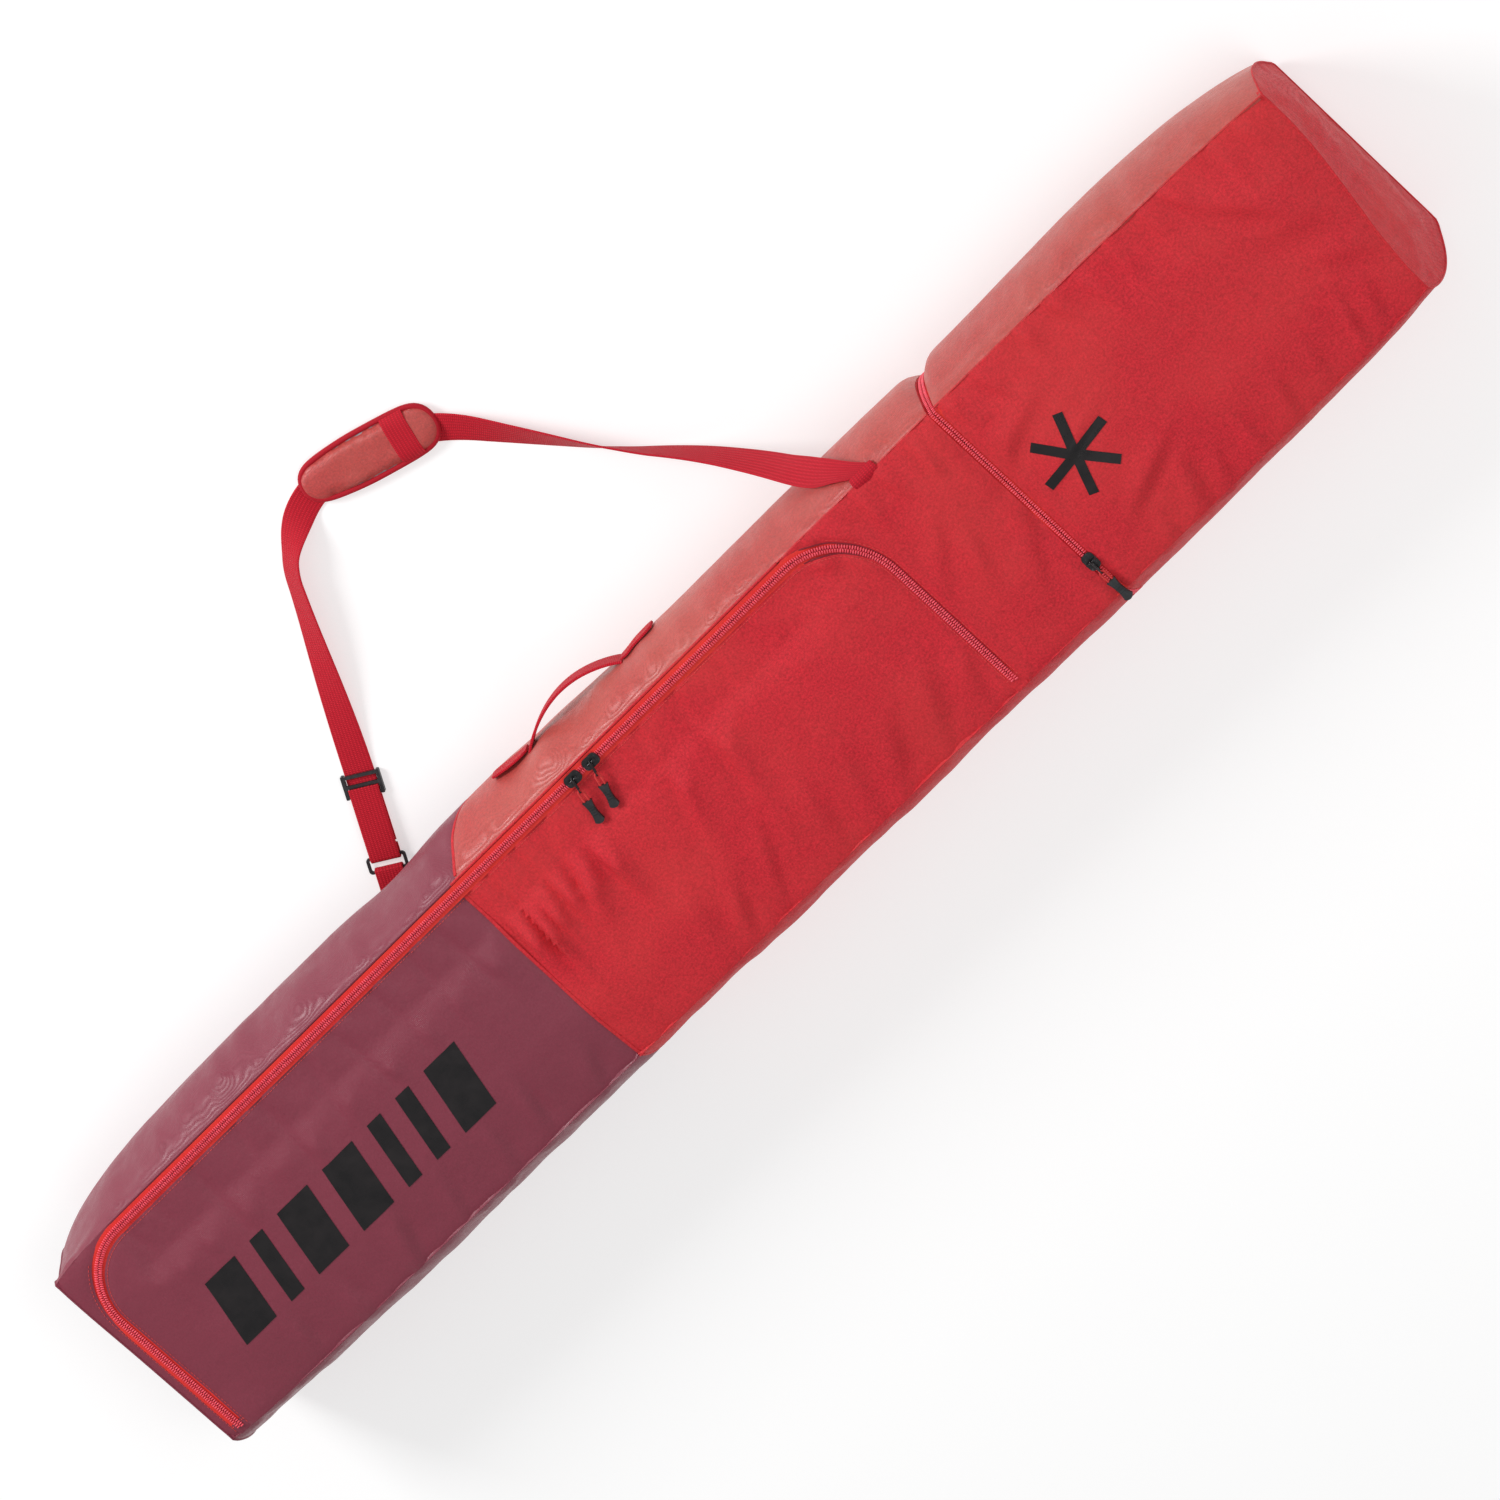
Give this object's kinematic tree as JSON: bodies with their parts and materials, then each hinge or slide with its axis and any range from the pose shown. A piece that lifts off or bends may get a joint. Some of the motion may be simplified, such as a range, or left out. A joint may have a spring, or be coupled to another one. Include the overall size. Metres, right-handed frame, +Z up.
{
  "type": "ski bag",
  "caption": "Long padded bag for skis with a zipped lid along one side, a zip round the bag that lets the head pull out, a carry handle and a padded shoulder strap.",
  "frame": {"origin": "middle of the flat face that the bag rests on", "axes": "+X from the foot to the head, +Y towards the side with the carry handle and the shoulder strap, +Z up out of the front panel"},
  "size_m": [1.75, 0.6653, 0.1678],
  "materials": {
    "red_cloth": "woven polyester",
    "burgundy_cloth": "coated cloth, satin",
    "zip_tape": "woven tape",
    "zip_coil": "moulded coil",
    "webbing": "woven webbing",
    "cord": "braided cord",
    "slider_metal": "black enamel",
    "black_plastic": "moulded",
    "foam": "closed-cell foam",
    "lining": "coated lining"
  },
  "bodies": {
    "base": {"back_panel": "red_cloth", "handle_gusset_burgundy": "burgundy_cloth", "handle_gusset_red": "red_cloth", "far_gusset_burgundy": "burgundy_cloth", "far_gusset_red": "red_cloth", "foot_end_panel": "burgundy_cloth", "foot_front_strip": "burgundy_cloth", "bridge_panel": "red_cloth", "zip_edge_binding": "red_cloth", "back_foam": "foam", "back_lining": "lining", "ski_strap_foot": "webbing", "ski_strap_head": "webbing", "main_zip_tape_base": "zip_tape", "main_zip_coil_base": "zip_coil", "girth_zip_tape_base": "zip_tape", "girth_zip_coil_base": "zip_coil", "expansion_gusset": "red_cloth", "handle_patch_foot": "red_cloth", "handle_patch_head": "red_cloth", "strap_seam_tab": "webbing", "ring_anchor": "webbing", "strap_ring": "black_plastic"},
    "lid": {"lid_panel_burgundy": "burgundy_cloth", "lid_panel_red": "red_cloth", "lid_foam": "foam", "lid_lining": "lining", "main_zip_tape_lid": "zip_tape", "main_zip_coil_lid": "zip_coil"},
    "head_section": {"head_back_panel": "red_cloth", "head_handle_gusset": "red_cloth", "head_far_gusset": "red_cloth", "head_front_panel": "red_cloth", "head_end_panel": "red_cloth", "head_foam": "foam", "head_lining": "lining", "girth_zip_tape_head": "zip_tape", "girth_zip_coil_head": "zip_coil"},
    "foot_slider": {"foot_slider": "slider_metal"},
    "head_slider": {"head_slider": "slider_metal"},
    "girth_slider": {"girth_slider": "slider_metal"},
    "foot_pull": {"foot_pull_loop": "slider_metal", "foot_pull_cord": "cord", "foot_pull_tab": "black_plastic"},
    "head_pull": {"head_pull_loop": "slider_metal", "head_pull_cord": "cord", "head_pull_tab": "black_plastic"},
    "girth_pull": {"girth_pull_loop": "slider_metal", "girth_pull_cord": "cord", "girth_pull_tab": "black_plastic"},
    "carry_handle": {"carry_handle": "webbing"},
    "shoulder_strap": {"strap_upper": "webbing", "strap_lower": "webbing", "strap_return": "webbing", "pad_cover": "red_cloth", "pad_core": "foam", "pad_band": "red_cloth"},
    "tri_glide": {"tri_glide": "black_plastic"}
  },
  "joints": [
    {"name": "lid_hinge", "type": "hinge", "parent": "base", "child": "lid", "pos_m": [0, -0.13, 0.158], "axis": [1, 0, 0], "range_deg": [0, 165]},
    {"name": "head_extend", "type": "slide", "parent": "base", "child": "head_section", "axis": [1, 0, 0], "range_m": [0, 0.3], "deforming": ["expansion_gusset"]},
    {"name": "foot_slider_run", "type": "slide", "parent": "lid", "child": "foot_slider", "axis": [-1, 0, 0], "range_m": [0, 0.68]},
    {"name": "head_slider_run", "type": "slide", "parent": "lid", "child": "head_slider", "axis": [1, 0, 0], "range_m": [0, 0.26]},
    {"name": "girth_slider_run", "type": "slide", "parent": "base", "child": "girth_slider", "axis": [0, 1, 0], "range_m": [-0.03, 0.19]},
    {"name": "foot_pull_swing", "type": "hinge", "parent": "foot_slider", "child": "foot_pull", "pos_m": [-0.092, 0.122, 0.1649], "axis": [-1, 0, 0], "range_deg": [0, 150]},
    {"name": "head_pull_swing", "type": "hinge", "parent": "head_slider", "child": "head_pull", "pos_m": [-0.066, 0.122, 0.1649], "axis": [-1, 0, 0], "range_deg": [0, 150]},
    {"name": "girth_pull_swing", "type": "hinge", "parent": "girth_slider", "child": "girth_pull", "pos_m": [0.43, -0.084, 0.1629], "axis": [-1, 0, 0], "range_deg": [0, 150]},
    {"name": "handle_swing", "type": "hinge", "parent": "base", "child": "carry_handle", "pos_m": [-0.054, 0.1608, 0.095], "axis": [1, 0, 0], "range_deg": [-25, 25]},
    {"name": "strap_swing", "type": "hinge", "parent": "base", "child": "shoulder_strap", "pos_m": [-0.345, 0.175, 0.0052], "axis": [0.9789, -0.033, 0.2018], "range_deg": [0, 100], "deforming": ["strap_return"]},
    {"name": "tri_glide_run", "type": "slide", "parent": "shoulder_strap", "child": "tri_glide", "axis": [0.5168, 0.8561, 0], "range_m": [0, 0.15]}
  ]
}
